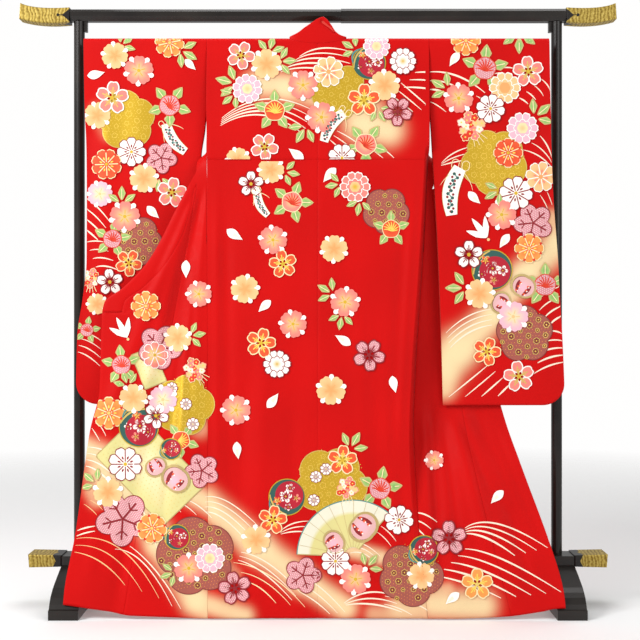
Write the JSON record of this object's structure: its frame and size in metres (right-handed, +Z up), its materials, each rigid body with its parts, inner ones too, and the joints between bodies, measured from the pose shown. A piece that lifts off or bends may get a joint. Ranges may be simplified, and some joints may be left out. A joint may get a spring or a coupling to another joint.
{
  "type": "furisode on kimono stand",
  "caption": "Long-sleeved silk kimono shown from the back, its fronts opened out past the armpits, hung by a rod through the sleeves on a lacquered stand with gilt caps.",
  "frame": {"origin": "on the floor, under the middle of the stand", "axes": "+X to the right seen from the garment's back, +Y from the garment towards the stand and beyond, +Z up"},
  "size_m": [1.768, 0.43, 1.778],
  "materials": {
    "silk": "figured silk crepe, dyed with flowers, clouds and stream lines",
    "lacquer": "gloss black lacquer",
    "gilt": "embossed gilt",
    "dark_steel": "satin dark paint"
  },
  "bodies": {
    "root": {"back_left": "silk", "front_left": "silk", "overlap_left": "silk", "collar_left": "silk", "sleeve_left": "silk", "top_cap_left": "gilt", "base_cap_left": "gilt", "post_left": "lacquer", "cleat_left": "lacquer", "foot_left": "lacquer", "top_bar_left": "lacquer", "back_right": "silk", "front_right": "silk", "overlap_right": "silk", "collar_right": "silk", "sleeve_right": "silk", "top_cap_right": "gilt", "base_cap_right": "gilt", "post_right": "lacquer", "cleat_right": "lacquer", "foot_right": "lacquer", "top_bar_right": "lacquer", "collar_neck": "silk", "base_plank": "lacquer", "hanger_rod": "dark_steel", "rod_bracket": "dark_steel"}
  },
  "joints": []
}
